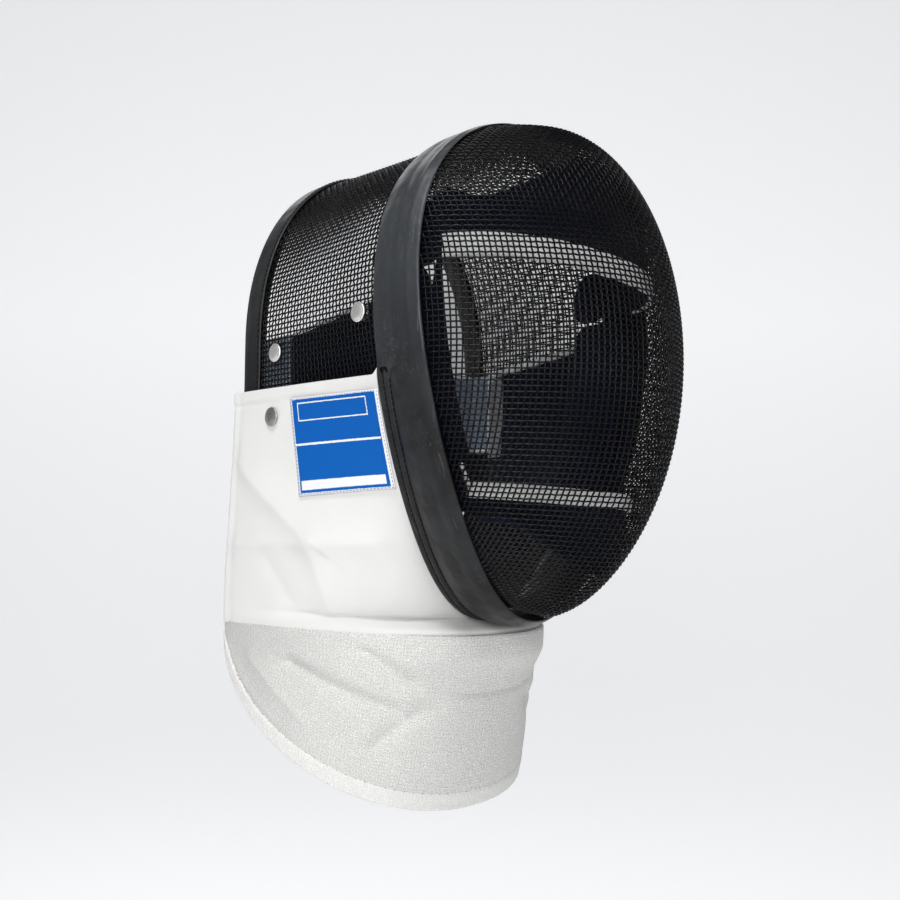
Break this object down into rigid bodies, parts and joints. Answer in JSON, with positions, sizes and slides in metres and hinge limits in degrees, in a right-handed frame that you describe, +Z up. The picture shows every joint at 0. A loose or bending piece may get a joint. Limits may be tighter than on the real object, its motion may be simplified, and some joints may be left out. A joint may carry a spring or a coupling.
{
  "type": "fencing mask",
  "caption": "Domed wire-mesh fencing mask with a padded rim trim, a white cloth bib with a metallic lower part, a padded liner and an elastic strap behind the head.",
  "frame": {"origin": "the head seat: the middle of the inside of the crown, where the mask bears on the top of the head", "axes": "+Z up; the face looks along -Y; +X is the wearer's left"},
  "size_m": [0.2262, 0.2568, 0.4196],
  "materials": {
    "black_wire": "black painted woven steel wire",
    "black_vinyl": "black coated cloth, satin, lightly scuffed",
    "white_cloth": "matt, closely woven, padded",
    "silver_cloth": "metallic woven cloth, fine grain",
    "blue_label": "woven blue patch, plain",
    "navy_cloth": "matt dark lining cloth",
    "white_edging": "matt woven tape",
    "grey_elastic": "ribbed elastic",
    "nickel": "satin nickel"
  },
  "bodies": {
    "root": {"front_mesh": "black_wire", "side_mesh": "black_wire", "rim_trim": "black_vinyl", "rear_trim": "black_vinyl", "bib_upper": "white_cloth", "bib_lower": "silver_cloth", "label": "blue_label", "forehead_pad": "navy_cloth", "chin_pad": "navy_cloth", "cheek_pad_right": "navy_cloth", "cheek_pad_left": "navy_cloth", "liner_edging": "white_edging", "rear_strap": "grey_elastic", "front_rivet_right": "nickel", "front_rivet_left": "nickel", "rear_rivet_right": "nickel", "rear_rivet_left": "nickel", "bib_snap_right": "nickel", "bib_snap_left": "nickel"}
  },
  "joints": []
}
